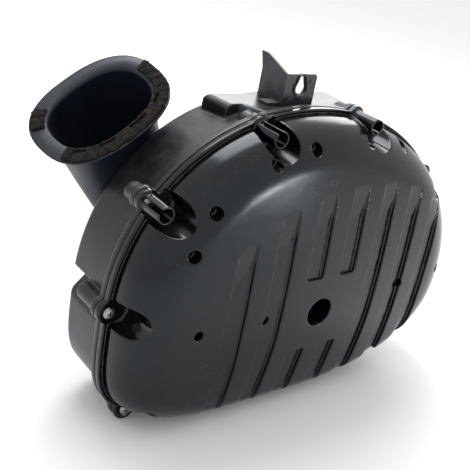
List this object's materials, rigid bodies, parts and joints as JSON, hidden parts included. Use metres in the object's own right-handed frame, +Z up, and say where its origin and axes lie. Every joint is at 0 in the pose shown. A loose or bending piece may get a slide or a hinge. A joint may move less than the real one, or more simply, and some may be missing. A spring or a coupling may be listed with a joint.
{
  "type": "air filter housing",
  "caption": "Domed air filter housing with grooved cover, boxy casing, oval intake duct with worn foam seal, top keyhole bracket and rear outlet boot.",
  "frame": {"origin": "middle of the bounding box in plan, on its underside", "axes": "+X to the housing's right seen from the cover, the cover faces -Y, +Z up"},
  "size_m": [0.3724, 0.1978, 0.274],
  "materials": {
    "casing_plastic": "moulded, satin, worn",
    "cover_plastic": "moulded, semi-gloss, lightly scratched",
    "duct_plastic": "moulded, blue-black",
    "foam": "open-cell foam, torn and dusty",
    "bracket_steel": "black paint over pressed sheet",
    "screw_steel": "zinc plated",
    "clamp_steel": "bright band",
    "screen_steel": "perforated backing",
    "insert_brass": "knurled insert",
    "gasket_rubber": "soft cord",
    "boot_rubber": "moulded rubber",
    "frame_rubber": "moulded element frame",
    "filter_paper": "resin-treated pleated paper"
  },
  "bodies": {
    "housing": {"casing": "casing_plastic", "intake_duct": "duct_plastic", "duct_seal": "foam", "duct_seal_scrap": "foam", "top_bracket": "bracket_steel", "bracket_screw_1": "screw_steel", "bracket_screw_2": "screw_steel", "cover_gasket": "gasket_rubber", "filter_frame": "frame_rubber", "filter_media": "filter_paper", "filter_rim_seal": "foam", "filter_screen": "screen_steel", "element_screw_1": "screw_steel", "element_screw_2": "screw_steel", "element_screw_3": "screw_steel", "element_screw_4": "screw_steel", "outlet_boot": "boot_rubber", "boot_clamp": "clamp_steel", "drain_cap": "boot_rubber", "mount_grommet_1": "boot_rubber", "mount_grommet_2": "boot_rubber", "mount_collar_1": "screw_steel", "mount_collar_2": "screw_steel", "insert_1": "insert_brass", "insert_2": "insert_brass", "insert_3": "insert_brass", "insert_4": "insert_brass", "insert_5": "insert_brass", "insert_6": "insert_brass", "insert_7": "insert_brass", "insert_8": "insert_brass"},
    "cover": {"cover": "cover_plastic", "cover_screw_1": "screw_steel", "cover_screw_2": "screw_steel", "cover_screw_3": "screw_steel", "cover_screw_4": "screw_steel", "cover_screw_5": "screw_steel", "cover_screw_6": "screw_steel", "cover_screw_7": "screw_steel", "cover_screw_8": "screw_steel"}
  },
  "joints": [
    {"name": "cover_off", "type": "slide", "parent": "housing", "child": "cover", "axis": [0, -1, 0], "range_m": [0, 0.15]}
  ]
}
